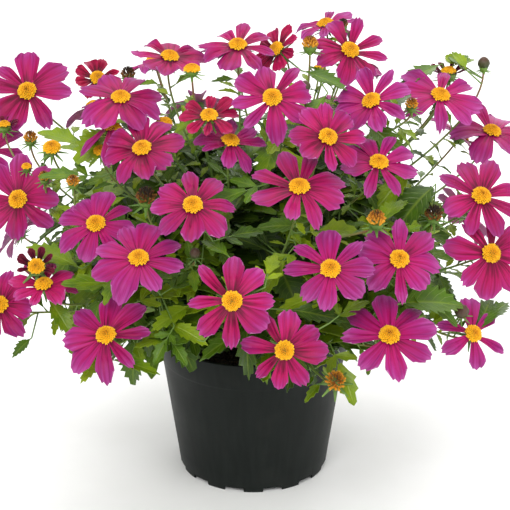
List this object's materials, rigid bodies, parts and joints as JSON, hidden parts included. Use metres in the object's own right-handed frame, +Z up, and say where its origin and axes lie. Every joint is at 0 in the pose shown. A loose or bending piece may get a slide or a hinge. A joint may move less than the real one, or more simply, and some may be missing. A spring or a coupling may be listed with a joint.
{
  "type": "potted bidens",
  "caption": "Bushy bidens in full pink flower, with cut green leaves on wiry stems, planted in soil in a plain round black nursery pot.",
  "frame": {"origin": "on the ground at the middle of the pot's underside", "axes": "+Z up out of the pot, -Y towards the front of the plant as the picture shows it, +X to the viewer's right"},
  "size_m": [0.349, 0.3191, 0.2887],
  "materials": {
    "pot": "matte",
    "soil": "matte",
    "foliage": "satin",
    "petal_pink": "satin",
    "petal_rose": "satin",
    "petal_red": "satin",
    "floret": "matte"
  },
  "bodies": {
    "root": {"pot": "pot", "soil": "soil", "leafy_stem_01": "foliage", "leafy_stem_02": "foliage", "leafy_stem_03": "foliage", "leafy_stem_04": "foliage", "leafy_stem_05": "foliage", "leafy_stem_06": "foliage", "leafy_stem_07": "foliage", "leafy_stem_08": "foliage", "leafy_stem_09": "foliage", "leafy_stem_10": "foliage", "leafy_stem_11": "foliage", "bloom_01": "petal_pink", "bloom_02": "petal_red", "bloom_03": "petal_pink", "bloom_04": "petal_pink", "bloom_05": "petal_pink", "bloom_06": "petal_pink", "bloom_07": "petal_pink", "bloom_08": "petal_pink", "bloom_09": "petal_rose", "bloom_10": "petal_pink", "bloom_11": "petal_pink", "bloom_12": "petal_pink", "bloom_13": "petal_pink", "bloom_14": "petal_pink", "bloom_15": "petal_pink", "bloom_16": "petal_pink", "bloom_17": "petal_pink", "bloom_18": "petal_pink", "bloom_19": "petal_pink", "bloom_20": "petal_pink", "bloom_21": "petal_pink", "bloom_22": "petal_pink", "bloom_23": "petal_pink", "bloom_24": "petal_pink", "bloom_25": "petal_pink", "bloom_26": "petal_pink", "bloom_27": "petal_pink", "bloom_28": "petal_pink", "bloom_29": "petal_red", "bloom_30": "petal_pink", "bloom_31": "petal_red", "bloom_32": "petal_pink", "bloom_33": "petal_pink", "bloom_34": "petal_pink", "bloom_35": "petal_pink", "bloom_36": "petal_pink", "bloom_37": "petal_pink", "bloom_38": "petal_pink", "bloom_39": "petal_pink", "bloom_40": "petal_pink", "bloom_41": "petal_pink", "bloom_42": "petal_pink", "bloom_43": "petal_pink", "bloom_44": "petal_pink", "bloom_45": "petal_pink", "bloom_46": "petal_pink", "bloom_47": "petal_pink"}
  },
  "joints": []
}
